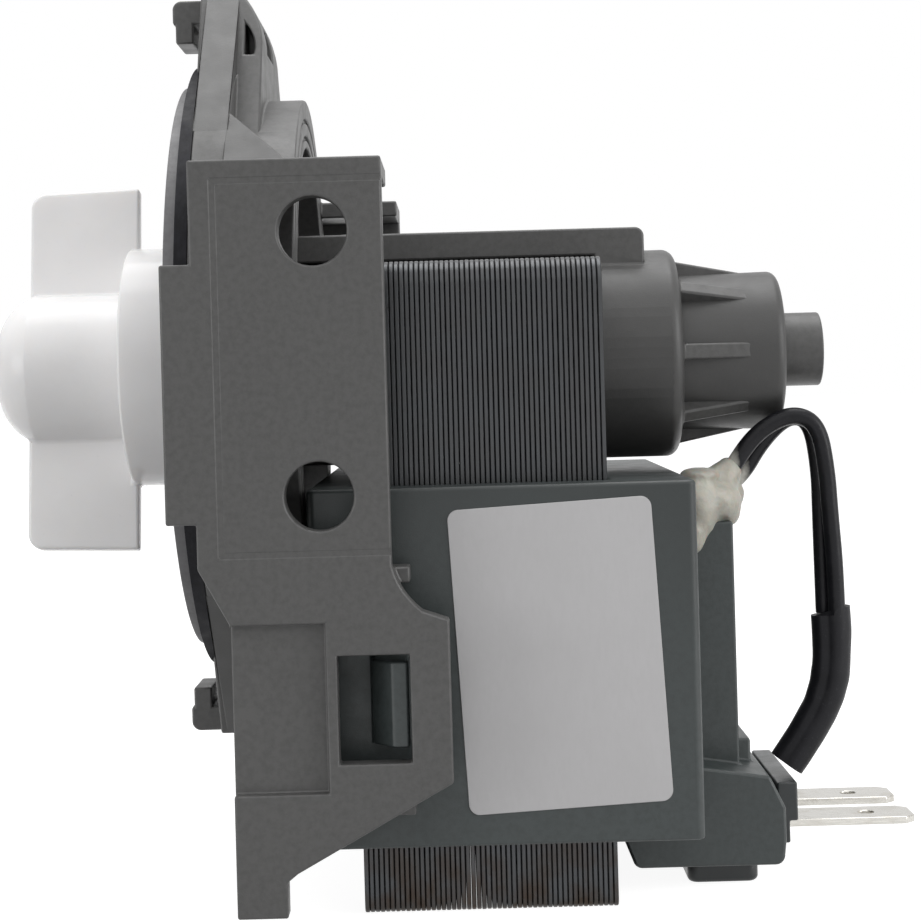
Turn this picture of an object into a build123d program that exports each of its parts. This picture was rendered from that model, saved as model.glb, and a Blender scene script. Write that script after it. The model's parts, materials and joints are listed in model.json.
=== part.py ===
from build123d import *
from math import cos, radians, sin, tan
import os

# Dishwasher drain pump, in millimetres.
# +X runs along the pump's axis from the impeller to the tail of the motor, +Z is up.
# The origin is on the axis, at the front face of the cover disc.

os.makedirs("parts", exist_ok=True)

# Clearances, and how far roots and cutters pass what they join or cut
running_gap = 0.05
slide_gap = 0.15
loose_gap = 0.3
spigot_gap = 0.2
contact_gap = 0.1
seal_gap = 0.05
root_sink = 0.5
cut_over = 1.0
same_size = 0.01

# Cover disc, gasket and flange
cover_setback = 2.2
cover_t = 1.4
cover_web_t = 1.0
cover_recess_r = 15.0
cover_recess_depth = 0.5
gasket_t = 1.3
gasket_w = 6.4
gasket_lead = 1.7
flange_t = 3.6
spigot_r = 25.4
spigot_depth = 3.5
spigot_wall = 3.0
web_t = 2.0
seal_w = 1.3
seal_groove_x = 1.3
seal_groove_w = 1.6
seal_groove_depth = 1.2

# Bayonet ears, with a hook in front of each and a gusset behind it
ear_lead = 0.7
ear_reach = 7.8
ear_tip_half = 5.5
ear_root_half = 17.0
ear_root_drop = 9.5
gusset_x = 2.7
gusset_belly_x = 1.9
gusset_belly_drop = 2.9
gusset_shoulder_drop = 7.3
hook_reach = 3.5
hook_half = 4.0
hook_drop = 0.5
hook_h = 2.6
hook_fillet = 1.0
lip_h = 2.2
lip_t = 2.0
lip_setback = 0.3
slot_h = 3.6
lens_x = 0.75
lens_w = 1.0
lens_belly_w = 0.85
lens_bottom_drop = 7.7
lens_belly_drop = 5.4
lens_top_drop = 3.9
lens_inner_y = 6.0

# Drum behind the flange
drum_setback = 3.9
drum_wall = 5.4
drum_len = 6.7
drum_ribs = 8
drum_rib_t = 1.4
drum_rib_len = 4.0
ring_groove_insets = (2.1, 4.0)
ring_groove_w = 0.5
ring_groove_depth = 0.5

# Laminated stator core
core_behind_drum = 5.2
stack_len = 26.2
core_half = 23.5
core_below_can = 1.6
core_bottom = -57.2
core_corner_r = 2.6
core_foot_r = 1.2
yoke_h = 7.7
leg_inner_y = 9.0
pole_gap_half = 3.5
pole_wall = 1.0

# Rotor can, ribbed tail and nub
can_r = 11.7
can_wall = 1.4
can_past_core = 9.6
can_end_t = 1.2
can_fillet = 1.4
tail_wall = 1.2
tail_len = 8.0
tail_floor_t = 1.0
tail_ribs = 8
tail_rib_t = 1.7
tail_rib_inset = 1.3
cap_r = 8.76
cap_t = 3.5
cap_fillet = 0.9
nub_len = 4.8
nub_end_t = 2.8
nub_side_t = 0.95
nub_clearance = 0.7

# Guide rail along the top of the can, with a hook behind the core
rail_half = 6.3
rail_above_core = 0.9
rail_t = 3.0
rail_past_core = 5.9
rail_hook_drop = 1.6
rail_fillet = 1.0

# Side plates of the bracket
plate_gap = 3.9
plate_t = 2.6
plate_top = 19.8
plate_front_x = 3.3
guard_front_x = 0.3
guard_top = 9.6
guard_bottom = -15.9
plate_rear_x = 22.3
plate_waist_z = -20.3
bend_x = 23.4
bend_z = -22.9
neck_x = 25.2
neck_z = -24.9
apron_rear_x = 27.8
apron_top = -25.8
apron_bottom = -41.8
leg_front_x = 6.3
leg_rear_x = 11.3
leg_bottom = -54.6
knee_x = 12.3
knee_z = -50.3
knee_drop = 0.8
roof_t = 1.9
roof_overlap = 9.0
roof_rib_t = 1.8
roof_rib_top = 24.8
roof_rib_rear_x = 10.7
panel_x = 5.7
panel_top = 17.7
panel_bottom = -19.0
panel_line_w = 0.35
panel_line_depth = 0.3
web_inner_y = 24.0
web_top = -17.0
web_x = 2.2
rail_rib_t = 1.6
rail_rib_rear_x = 24.0
rail_rib_zs = (-21.5, -44.5)
near_hole_r = 3.4
far_hole_r = 4.0
hole_x = 15.4
hole_mid_z = -0.4
hole_spacing = 26.0
window_front_x = 16.7
window_rear_x = 23.8
window_top = -29.1
window_bottom = -39.7
pocket_rear_x = 15.6
pocket_top = -25.9
pocket_bottom = -42.5
pocket_depth = 1.2

# Bobbins and windings
bobbin_wall = 0.8
bobbin_flange_t = 1.0
winding_t = 2.7

# Coil casing and connector block
casing_front_wall = 0.85
casing_side_wall = 1.25
casing_rear_wall = 4.85
casing_top_wall = 1.4
casing_fillet = 0.9
back_wall_t = 5.6
back_wall_half = 12.0
back_wall_drop = 5.4
block_half = 17.5
block_len = 9.7
block_slope = 2.0
block_drop = 5.2
block_rise = 5.6
block_heel = 0.3
block_heel_h = 2.6
block_shoulder = 1.6
block_shoulder_h = 3.4
block_crown = 1.4
block_fillet = 1.0
boss_setback = 3.8
boss_len = 3.4
boss_h = 1.3
boss_half = 9.0
foot_in_block = 3.0
lug_len = 3.7
lug_side_gap = 0.2
lug_top_gap = 0.8
lug_bottom_gap = 1.3
lug_inset = 1.0
lug_lead = 1.4
lug_flat = 1.6

# Black terminal holder with the foot under the block
plug_front_inset = 2.0
plug_h = 6.0
ledge_len = 2.3
ledge_h = 7.4
ledge_t = 4.2
clip_len = 1.4
clip_t = 2.4
holder_half = 10.5
foot_front_inset = 0.5
foot_len = 7.6
foot_half = 14.0
foot_h = 2.5
foot_fillet = 1.2

# Flat terminals
tab_w = 6.3
tab_t = 0.8
tab_reach = 13.2
tab_root_inset = 3.0
tab_y = 5.7
tab_up = 2.6
tab_hole_r = 0.9
tab_hole_back = 5.0
tab_tip_chamfer = 1.1

# Rating label
label_w = 20.6
label_h = 30.8
label_t = 0.15
label_corner_r = 1.1
label_inset = 14.2
label_drop = 17.3
label_turn = 2.8

# Shaft, rotor and bearings
shaft_r = 2.5
shaft_front_x = -17.4
shaft_tail = 6.0
shaft_chamfer = 0.3
magnet_gap = 0.7
magnet_lead = 0.6
magnet_extra = 1.8
sleeve_wall = 2.1
sleeve_collar_inset = 0.8
sleeve_collar_t = 1.4
bearing_wall = 2.9
bearing_len = 5.5
front_bearing_x = 2.1
rear_bearing_wall = 1.6
rear_mount_wall = 1.5
rear_bearing_back = 1.6
rear_bearing_len = 4.8
mount_wall = 3.0
mount_lip = 0.5
seat_over = 1.0
washer_wall = 2.0
washer_t = 0.8
washer_gap = 0.2

# Impeller with two straight blades
impeller_blades = 2
impeller_turn = -11.0
blade_t = 2.0
blade_front_r = 20.5
blade_back_r = 20.85
blade_front_x = -19.15
blade_in_cup = 0.65
blade_front_fillet = 1.8
blade_back_fillet = 0.5
hub_r = 8.4
nose_x = -22.4
nose_flat_r = 2.4
nose_mid_x = -21.3
nose_mid_r = 6.3
nose_base_x = -18.2
cup_r = 13.4
cup_wall = 1.6
cup_front_x = -7.4
cup_back_x = -0.6
cup_floor = 1.6
hub_wall = 1.9
hub_floor = 1.8
hub_back_x = -1.6

# Lost-motion drive inside the hub
dog_wall = 1.6
dog_end_gap = 0.4
dog_back_x = -6.6
dog_half_angle = 20.0
stop_half_angle = 20.0
hub_cap_t = 1.2

# Leads, sleeve and glue
lead_r = 0.95
sleeve_tube_r = 2.05
sleeve_bore_r = 1.6
fuse_r = 1.3
fuse_len = 4.6
fuse_inset = 0.4
corner_share = 0.45
bead_past_wall = 0.4
bead_far_y = -1.2
bead_rear = 0.8
bead_chamfer = 2.2

near_lead_points = [
    (58.4, -7.1, -14.4),
    (61.0, -7.1, -11.8),
    (63.5, -7.1, -9.8),
    (65.9, -7.1, -8.3),
    (68.3, -7.1, -9.1),
    (69.1, -7.1, -13.0),
    (69.2, -7.05, -18.6),
    (69.6, -6.9, -24.4),
    (69.4, -6.85, -29.45),
]
far_lead_points = [
    (58.4, -5.0, -14.4),
    (61.0, -5.0, -11.8),
    (63.9, -5.0, -9.1),
    (67.1, -5.0, -7.2),
    (69.5, -5.0, -8.5),
    (70.2, -5.0, -12.3),
    (70.4, -5.1, -18.2),
    (70.7, -5.1, -24.2),
    (70.7, -5.15, -29.45),
]
sleeve_points = [
    (70.05, -6.0, -29.7),
    (69.6, -6.0, -35.0),
    (67.8, -6.0, -40.3),
    (64.5, -6.0, -45.9),
]

# Places worked out from the sizes above: pump body and cover
flange_front_x = cover_t + gasket_t
flange_back_x = flange_front_x + flange_t
gasket_bore_r = spigot_r + gasket_lead
flange_r = gasket_bore_r + gasket_w
flange_mid_r = (spigot_r + flange_r) / 2
cover_r = flange_r - cover_setback
ear_r = flange_r + ear_reach
ear_root_z = flange_r - ear_root_drop
ear_front_x = flange_front_x - ear_lead
body_bore_r = spigot_r + spigot_gap
body_floor_x = cover_t + spigot_depth + contact_gap
web_back_x = body_floor_x + web_t
drum_r = flange_r - drum_setback
drum_end_x = flange_back_x + drum_len
drum_bore_r = drum_r - drum_wall
gusset_rear_x = flange_back_x + gusset_x
gusset_belly_r = ear_r - gusset_belly_drop
gusset_shoulder = ear_r - gusset_shoulder_drop
hook_front_x = ear_front_x - hook_reach
hook_outer_r = ear_r - hook_drop
hook_inner_r = hook_outer_r - hook_h
lip_front_x = hook_front_x + lip_setback
lip_r = hook_inner_r - lip_h
slot_inner_r = hook_inner_r - slot_h
lens_front_x = flange_back_x + lens_x
lens_bottom = ear_r - lens_bottom_drop
lens_belly_r = ear_r - lens_belly_drop
lens_top = ear_r - lens_top_drop
roof_inner_y = drum_r - roof_overlap
stack_x = drum_end_x + core_behind_drum
stack_end_x = stack_x + stack_len
stack_mid_x = stack_x + stack_len / 2
can_bore_r = can_r - can_wall
can_end_x = stack_end_x + can_past_core
rear_bearing_r = shaft_r + rear_bearing_wall
tail_bore_r = rear_bearing_r + rear_mount_wall
tail_r = tail_bore_r + tail_wall
tail_end_x = can_end_x + tail_len
tail_rib_r = can_r - tail_rib_inset
cap_end_x = tail_end_x + cap_t
nub_end_x = cap_end_x + nub_len
nub_bore_r = shaft_r + nub_clearance
nub_r = nub_bore_r + nub_side_t
pole_bore_r = can_r + loose_gap
pole_bottom = -(pole_bore_r + pole_wall)
core_top = can_r - core_below_can
rail_bottom = core_top + rail_above_core
rail_top = rail_bottom + rail_t
rail_end_x = stack_end_x + rail_past_core
rail_hook_bottom = rail_bottom - rail_hook_drop
behind_core_x = stack_end_x + loose_gap

# Places worked out: coils, casing and connector
yoke_top = core_bottom + yoke_h
leg_w = core_half - leg_inner_y
leg_mid_y = (core_half + leg_inner_y) / 2
casing_top = pole_bottom - contact_gap
casing_bottom = yoke_top + contact_gap
bobbin_top = casing_top - casing_top_wall
bobbin_bore = slide_gap
bobbin_out = bobbin_bore + bobbin_wall
winding_out = bobbin_out + winding_t
cavity_out = winding_out + contact_gap
casing_front_x = stack_x - cavity_out - casing_front_wall
casing_rear_x = stack_end_x + cavity_out + casing_rear_wall
casing_half = core_half + cavity_out + casing_side_wall
plate_inner_y = casing_half + plate_gap
plate_y = plate_inner_y + plate_t
label_x = casing_rear_x - label_inset
label_z = casing_top - label_drop
back_wall_x = casing_rear_x + back_wall_t
back_wall_top = casing_top - back_wall_drop
block_rear_x = casing_rear_x + block_len
block_bottom = casing_bottom - block_drop
block_top = casing_bottom + block_rise
block_inner_x = casing_rear_x - cut_over
boss_front_x = casing_rear_x + boss_setback
bead_top = casing_top - contact_gap
bead_near_y = -(back_wall_half + bead_past_wall)
bead_rear_x = back_wall_x + bead_rear
bead_chamfer_x = bead_rear_x - bead_chamfer
lug_rear_x = window_rear_x - lug_side_gap
lug_front_x = lug_rear_x - lug_len
lug_top = window_top - lug_top_gap
lug_bottom = window_bottom + lug_bottom_gap
lug_reach = plate_y - lug_inset
lug_nose = plate_inner_y - lug_lead
lug_root = casing_half - root_sink
plug_front_x = casing_rear_x - plug_front_inset
plug_top = block_bottom + plug_h
holder_front_x = block_rear_x + contact_gap
holder_rear_x = block_rear_x + ledge_len
holder_top = block_bottom + ledge_h
holder_step_z = holder_top - ledge_t
holder_bottom = holder_step_z - clip_t
foot_front_x = casing_rear_x - foot_front_inset
foot_mid_x = foot_front_x + foot_len / 2
foot_bottom = block_bottom - foot_h
tab_root_x = plug_front_x + tab_root_inset
tab_tip_x = holder_rear_x + tab_reach
tab_z = block_bottom + tab_up
tab_top = tab_z + tab_t / 2
tab_bottom = tab_z - tab_t / 2

# Places worked out: rotor, bearings and drive
shaft_bore_r = shaft_r + running_gap
magnet_x = stack_x - magnet_lead
magnet_len = stack_len + magnet_extra
magnet_end_x = magnet_x + magnet_len
magnet_r = can_bore_r - magnet_gap
sleeve_r = shaft_r + sleeve_wall
sleeve_collar_r = magnet_r - sleeve_collar_inset
bearing_r = shaft_r + bearing_wall
bearing_end_x = front_bearing_x + bearing_len
mount_r = bearing_r + mount_wall
seat_end_x = bearing_end_x + seat_over
seal_bore_r = spigot_r - seal_groove_depth + seal_gap
rear_bearing_x = can_end_x + rear_bearing_back
rear_mount_x = rear_bearing_x - mount_lip
washer_r = shaft_r + washer_wall
shaft_rear_x = rear_bearing_x + rear_bearing_len + shaft_tail
blade_back_x = cup_front_x + blade_in_cup
hub_bore_r = hub_r - hub_wall
hub_bore_x = shaft_front_x + hub_floor
dog_r = shaft_r + dog_wall
dog_reach = hub_bore_r - loose_gap
dog_front_x = hub_bore_x + dog_end_gap
cap_front_x = dog_back_x + dog_end_gap


def revolve_profile(points):
    """Turn a closed outline of (x, radius) points round the pump's axis."""
    with BuildSketch(Plane.XY, mode=Mode.PRIVATE) as half:
        with BuildLine():
            Polyline(*points, close=True)
        make_face()
    revolve(half.sketch, axis=Axis.X)


def bush(x, length, outer_r, bore_r):
    """A plain ring on the pump's axis."""
    with BuildSketch(Plane.YZ.offset(x), mode=Mode.PRIVATE) as ring:
        Circle(outer_r)
        Circle(bore_r, mode=Mode.SUBTRACT)
    extrude(ring.sketch, amount=length)


def leg_outline(plane, side, grow):
    """Outline of one leg of the core, grown all round, on a horizontal plane."""
    with BuildSketch(plane, mode=Mode.PRIVATE) as outline:
        with Locations((stack_mid_x, side * leg_mid_y)):
            Rectangle(stack_len, leg_w)
        offset(amount=grow)
    return outline.sketch


def box_between(low, high, mode=Mode.ADD):
    """A box from its low corner to its high corner."""
    size = [b - a for a, b in zip(low, high)]
    middle = [(a + b) / 2 for a, b in zip(low, high)]
    with Locations(tuple(middle)):
        Box(*size, mode=mode)


def round_route(points):
    """The radius at each corner of a lead, from its shorter run and its turn."""
    radii = []
    for before, at, after in zip(points, points[1:], points[2:]):
        a = Vector(at) - Vector(before)
        b = Vector(after) - Vector(at)
        half_turn = radians(a.get_angle(b)) / 2
        radii.append(corner_share * min(a.length, b.length) / tan(half_turn))
    return radii


def tube_along(points, outer_r, bore_r=0.0):
    """A round tube along straight runs joined by tangent arcs."""
    radii = round_route(points)
    with BuildLine() as route:
        FilletPolyline(*points, radius=radii)
    wire = route.wire()
    with BuildSketch(Plane(origin=wire @ 0, z_dir=wire % 0), mode=Mode.PRIVATE) as ring:
        Circle(outer_r)
        if bore_r:
            Circle(bore_r, mode=Mode.SUBTRACT)
    sweep(ring.sketch, path=wire)
    return radii, wire.length


def ear_outline(x):
    """The outline of both ears, outside the middle of the flange."""
    with BuildSketch(Plane.YZ.offset(x), mode=Mode.PRIVATE) as ears:
        with BuildLine():
            Polyline(
                (-ear_root_half, ear_root_z),
                (-ear_tip_half, ear_r + cut_over),
                (ear_tip_half, ear_r + cut_over),
                (ear_root_half, ear_root_z),
                close=True,
            )
        make_face()
        mirror(about=Plane.XZ)
        Circle(ear_r, mode=Mode.INTERSECT)
        Circle(flange_mid_r, mode=Mode.SUBTRACT)
    return ears.sketch


# Gussets behind the ears, as wide as the ears, with a rounded back
with BuildPart() as ear_gussets:
    extrude(ear_outline(flange_back_x - root_sink), amount=gusset_x + root_sink)
    with BuildSketch(Plane.XZ, mode=Mode.PRIVATE) as gusset_side:
        with BuildLine():
            Line((flange_back_x - root_sink, 0), (flange_back_x - root_sink, ear_r + cut_over))
            Line((flange_back_x - root_sink, ear_r + cut_over), (flange_back_x, ear_r))
            ThreePointArc(
                (flange_back_x, ear_r),
                (flange_back_x + gusset_belly_x, gusset_belly_r),
                (gusset_rear_x, gusset_shoulder),
            )
            Line((gusset_rear_x, gusset_shoulder), (gusset_rear_x, 0))
            Line((gusset_rear_x, 0), (flange_back_x - root_sink, 0))
        make_face()
        mirror(about=Plane.XZ)
    extrude(gusset_side.sketch, amount=ear_root_half, both=True, mode=Mode.INTERSECT)

# Pump body: one moulding with flange, drum, can, rail and side plates
with BuildPart() as pump_body:
    revolve_profile(
        [
            (flange_front_x, body_bore_r),
            (flange_front_x, flange_r),
            (flange_back_x, flange_r),
            (flange_back_x, drum_r),
            (drum_end_x, drum_r),
            (drum_end_x, drum_bore_r),
            (web_back_x, drum_bore_r),
            (web_back_x, can_r),
            (can_end_x, can_r),
            (can_end_x, tail_r),
            (tail_end_x, tail_r),
            (tail_end_x, cap_r),
            (cap_end_x, cap_r),
            (cap_end_x, nub_r),
            (nub_end_x, nub_r),
            (nub_end_x, 0),
            (nub_end_x - nub_end_t, 0),
            (nub_end_x - nub_end_t, nub_bore_r),
            (tail_end_x - tail_floor_t, nub_bore_r),
            (tail_end_x - tail_floor_t, tail_bore_r),
            (can_end_x - can_end_t, tail_bore_r),
            (can_end_x - can_end_t, can_bore_r),
            (body_floor_x, can_bore_r),
            (body_floor_x, body_bore_r),
        ]
    )
    rounded = pump_body.edges().filter_by(GeomType.CIRCLE).sort_by(Axis.X)
    can_edge = [e for e in rounded if abs(e.radius - can_r) < same_size][-1:]
    cap_edges = [e for e in rounded if abs(e.radius - cap_r) < same_size]
    fillet(can_edge, radius=can_fillet)
    fillet(cap_edges, radius=cap_fillet)

    # Ribs that taper along the tail
    with BuildSketch(Plane.XZ, mode=Mode.PRIVATE) as rib_side:
        with BuildLine():
            Polyline(
                (can_end_x - root_sink, tail_r - root_sink),
                (can_end_x - root_sink, tail_rib_r),
                (tail_end_x + root_sink, cap_r - slide_gap),
                (tail_end_x + root_sink, tail_r - root_sink),
                close=True,
            )
        make_face()
    one_rib = extrude(rib_side.sketch, amount=tail_rib_t / 2, both=True, mode=Mode.PRIVATE)
    for turn in range(tail_ribs):
        add(one_rib.rotate(Axis.X, turn * 360 / tail_ribs))

    # Ribs between the can and the drum
    with BuildSketch(Plane.YZ.offset(web_back_x - root_sink)):
        with PolarLocations((can_r + drum_bore_r) / 2, drum_ribs, start_angle=180 / drum_ribs):
            Rectangle(drum_bore_r - can_r + 2 * root_sink, drum_rib_t)
    extrude(amount=drum_rib_len + root_sink)

    # Ears on the flange, top and bottom
    extrude(ear_outline(ear_front_x), amount=flange_back_x - ear_front_x)
    add(ear_gussets.part)

    # Hook in front of each ear, the slot behind its lip and the pockets in the gusset's sides
    with BuildSketch(Plane.XZ, mode=Mode.PRIVATE) as hook_side:
        with BuildLine():
            Polyline(
                (ear_front_x + root_sink, hook_outer_r),
                (hook_front_x, hook_outer_r),
                (hook_front_x, hook_inner_r),
                (lip_front_x, hook_inner_r),
                (lip_front_x, lip_r),
                (lip_front_x + lip_t, lip_r),
                (lip_front_x + lip_t, hook_inner_r),
                (ear_front_x + root_sink, hook_inner_r),
                close=True,
            )
        make_face()
        front_corners = hook_side.vertices().group_by(Axis.X)[0]
        fillet(front_corners.sort_by(Axis.Y)[-1], radius=hook_fillet)
        mirror(about=Plane.XZ)
    extrude(hook_side.sketch, amount=hook_half, both=True)
    for side in (1, -1):
        low, high = sorted((side * slot_inner_r, side * hook_inner_r))
        box_between(
            (lip_front_x + lip_t, -hook_half, low),
            (gusset_rear_x + cut_over, hook_half, high),
            mode=Mode.SUBTRACT,
        )
        with BuildSketch(Plane.XZ.offset(side * lens_inner_y), mode=Mode.PRIVATE) as lens:
            with BuildLine():
                Line((lens_front_x, lens_bottom), (lens_front_x, lens_top))
                ThreePointArc(
                    (lens_front_x, lens_top),
                    (lens_front_x + lens_belly_w, lens_belly_r),
                    (lens_front_x + lens_w, lens_bottom),
                )
                Line((lens_front_x + lens_w, lens_bottom), (lens_front_x, lens_bottom))
            make_face()
            mirror(about=Plane.XZ)
        extrude(lens.sketch, amount=side * ear_root_half, mode=Mode.SUBTRACT)

    # Side plates with their roof, front web and inner guide ribs
    for side, hole_r in ((1, near_hole_r), (-1, far_hole_r)):
        with BuildSketch(Plane.XZ.offset(side * plate_y)):
            with BuildLine():
                Polyline(
                    (plate_rear_x, plate_waist_z),
                    (plate_rear_x, plate_top),
                    (plate_front_x, plate_top),
                    (plate_front_x, guard_top),
                    (guard_front_x, guard_top),
                    (guard_front_x, guard_bottom),
                    (plate_front_x, guard_bottom),
                    (plate_front_x, plate_waist_z),
                    (leg_front_x, apron_top),
                    (leg_front_x, leg_bottom),
                    (leg_rear_x, leg_bottom),
                    (leg_rear_x, knee_z - knee_drop),
                    (knee_x, knee_z),
                    (apron_rear_x, apron_bottom),
                    (apron_rear_x, apron_top),
                    (neck_x, neck_z),
                )
                ThreePointArc((neck_x, neck_z), (bend_x, bend_z), (plate_rear_x, plate_waist_z))
            make_face()
            with Locations((hole_x, hole_mid_z)):
                with GridLocations(0, hole_spacing, 1, 2):
                    Circle(hole_r, mode=Mode.SUBTRACT)
            with Locations(
                ((window_front_x + window_rear_x) / 2, (window_top + window_bottom) / 2)
            ):
                Rectangle(
                    window_rear_x - window_front_x,
                    window_top - window_bottom,
                    mode=Mode.SUBTRACT,
                )
        extrude(amount=-side * plate_t)
        outer = -side * plate_y
        inner = -side * plate_inner_y
        low, high = sorted((-side * roof_inner_y, inner))
        box_between((plate_front_x, low, plate_top - roof_t), (plate_rear_x, high, plate_top))
        with BuildSketch(Plane.XZ.offset(side * (roof_inner_y + roof_rib_t)), mode=Mode.PRIVATE) as roof_rib:
            with BuildLine():
                Polyline(
                    (flange_back_x - root_sink, plate_top - roof_t),
                    (flange_back_x - root_sink, roof_rib_top),
                    (flange_back_x, roof_rib_top),
                    (roof_rib_rear_x, plate_top),
                    (roof_rib_rear_x, plate_top - roof_t),
                    close=True,
                )
            make_face()
        extrude(roof_rib.sketch, amount=-side * roof_rib_t)
        low, high = sorted((-side * web_inner_y, inner))
        box_between((leg_front_x, low, leg_bottom), (leg_front_x + web_x, high, web_top))
        for rib_z in rail_rib_zs:
            low, high = sorted((-side * (casing_half + loose_gap), inner))
            box_between(
                (leg_front_x, low, rib_z - rail_rib_t / 2),
                (rail_rib_rear_x, high, rib_z + rail_rib_t / 2),
            )
        low, high = sorted((outer, -side * (plate_y - pocket_depth)))
        box_between(
            (leg_front_x - cut_over, low, pocket_bottom),
            (pocket_rear_x, high, pocket_top),
            mode=Mode.SUBTRACT,
        )

        # Shallow line round the plate's panel
        with BuildSketch(Plane.XZ.offset(side * plate_y), mode=Mode.PRIVATE) as panel_line:
            with Locations((panel_x, (panel_top + panel_bottom) / 2)):
                Rectangle(panel_line_w, panel_top - panel_bottom)
            for line_z in (panel_top, panel_bottom):
                with Locations((panel_x, line_z)):
                    Rectangle(plate_rear_x - panel_x, panel_line_w, align=(Align.MIN, Align.CENTER))
        extrude(panel_line.sketch, amount=-side * panel_line_depth, mode=Mode.SUBTRACT)

    # Room for the cover disc and the gasket inside the ears and the plates' front guards
    with BuildSketch(Plane.YZ.offset(flange_front_x)):
        Circle(flange_r + loose_gap)
    extrude(amount=guard_front_x - flange_front_x - cut_over, mode=Mode.SUBTRACT)

    # Ring grooves in the rear face of the drum
    for inset in ring_groove_insets:
        with BuildSketch(Plane.YZ.offset(drum_end_x)):
            Circle(drum_r - inset)
            Circle(drum_r - inset - ring_groove_w, mode=Mode.SUBTRACT)
        extrude(amount=-ring_groove_depth, mode=Mode.SUBTRACT)

    # Guide rail on the can and its hook behind the core
    with BuildSketch(Plane.XZ) as rail_side:
        with BuildLine():
            Polyline(
                (web_back_x - root_sink, rail_bottom),
                (web_back_x - root_sink, rail_top),
                (rail_end_x, rail_top),
                (rail_end_x, rail_hook_bottom),
                (behind_core_x, rail_hook_bottom),
                (behind_core_x, rail_bottom),
                close=True,
            )
        make_face()
        ends = rail_side.vertices().group_by(Axis.X)[-1]
        fillet(ends, radius=rail_fillet)
    extrude(amount=rail_half, both=True)
    with BuildSketch(Plane.YZ.offset(web_back_x)):
        Circle(can_bore_r)
    extrude(amount=can_end_x - can_end_t - web_back_x, mode=Mode.SUBTRACT)
pump_body.part.label = "pump_body"

# Front cover: rim disc, spigot with a seal groove and a seat for the front bearing
with BuildPart() as front_cover:
    groove_x = cover_t + seal_groove_x
    revolve_profile(
        [
            (cover_recess_depth, shaft_r + loose_gap),
            (cover_recess_depth, cover_recess_r),
            (0, cover_recess_r),
            (0, cover_r),
            (cover_t, cover_r),
            (cover_t, spigot_r),
            (groove_x, spigot_r),
            (groove_x, spigot_r - seal_groove_depth),
            (groove_x + seal_groove_w, spigot_r - seal_groove_depth),
            (groove_x + seal_groove_w, spigot_r),
            (cover_t + spigot_depth, spigot_r),
            (cover_t + spigot_depth, spigot_r - spigot_wall),
            (cover_t + cover_web_t, spigot_r - spigot_wall),
            (cover_t + cover_web_t, can_bore_r - loose_gap),
            (seat_end_x, can_bore_r - loose_gap),
            (seat_end_x, mount_r),
            (front_bearing_x - mount_lip, mount_r),
            (front_bearing_x - mount_lip, shaft_r + loose_gap),
        ]
    )
front_cover.part.label = "front_cover"

# Gasket between the cover disc and the flange
with BuildPart() as flange_gasket:
    bush(cover_t, gasket_t, flange_r, gasket_bore_r)
flange_gasket.part.label = "flange_gasket"

# Square-cut seal in the spigot's groove
with BuildPart() as cover_seal:
    seal_x = groove_x + (seal_groove_w - seal_w) / 2
    bush(seal_x, seal_w, seal_bore_r + seal_w, seal_bore_r)
cover_seal.part.label = "cover_seal"

# Shaft
with BuildPart() as shaft:
    with BuildSketch(Plane.YZ.offset(shaft_front_x)):
        Circle(shaft_r)
    extrude(amount=shaft_rear_x - shaft_front_x)
    chamfer(shaft.edges().filter_by(GeomType.CIRCLE), length=shaft_chamfer)
shaft.part.label = "shaft"

# Plastic sleeve that carries the magnet, with a collar at each end
with BuildPart() as magnet_sleeve:
    revolve_profile(
        [
            (magnet_x - sleeve_collar_t, shaft_r),
            (magnet_x - sleeve_collar_t, sleeve_collar_r),
            (magnet_x, sleeve_collar_r),
            (magnet_x, sleeve_r),
            (magnet_end_x, sleeve_r),
            (magnet_end_x, sleeve_collar_r),
            (magnet_end_x + sleeve_collar_t, sleeve_collar_r),
            (magnet_end_x + sleeve_collar_t, shaft_r),
        ]
    )
magnet_sleeve.part.label = "magnet_sleeve"

# Ring magnet
with BuildPart() as rotor_magnet:
    bush(magnet_x, magnet_len, magnet_r, sleeve_r)
rotor_magnet.part.label = "rotor_magnet"


# Bearings in rubber mounts, and thrust washers
with BuildPart() as front_bearing:
    bush(front_bearing_x, bearing_len, bearing_r, shaft_bore_r)
front_bearing.part.label = "front_bearing"

with BuildPart() as front_bearing_mount:
    bush(front_bearing_x - mount_lip, bearing_len + 2 * mount_lip, mount_r, bearing_r)
front_bearing_mount.part.label = "front_bearing_mount"

with BuildPart() as rear_bearing:
    bush(rear_bearing_x, rear_bearing_len, rear_bearing_r, shaft_bore_r)
rear_bearing.part.label = "rear_bearing"

with BuildPart() as rear_bearing_mount:
    bush(rear_mount_x, rear_bearing_len + 2 * mount_lip, tail_bore_r, rear_bearing_r)
rear_bearing_mount.part.label = "rear_bearing_mount"

with BuildPart() as front_thrust_washer:
    bush(bearing_end_x + mount_lip + washer_gap, washer_t, washer_r, shaft_bore_r)
front_thrust_washer.part.label = "front_thrust_washer"

with BuildPart() as rear_thrust_washer:
    bush(rear_mount_x - washer_gap - washer_t, washer_t, washer_r, shaft_bore_r)
rear_thrust_washer.part.label = "rear_thrust_washer"


def sector(x, length, inner_r, outer_r, middle, half_angle):
    """A block between two radii, to each side of an angle measured from +Y to +Z."""
    rim = outer_r / cos(radians(half_angle)) + cut_over
    low = radians(middle - half_angle)
    high = radians(middle + half_angle)
    with BuildSketch(Plane.YZ.offset(x), mode=Mode.PRIVATE) as block:
        Circle(outer_r)
        Circle(inner_r, mode=Mode.SUBTRACT)
        with BuildLine():
            Polyline(
                (0, 0),
                (rim * cos(low), rim * sin(low)),
                (rim * cos(high), rim * sin(high)),
                close=True,
            )
        make_face(mode=Mode.INTERSECT)
    extrude(block.sketch, amount=length)


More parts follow.
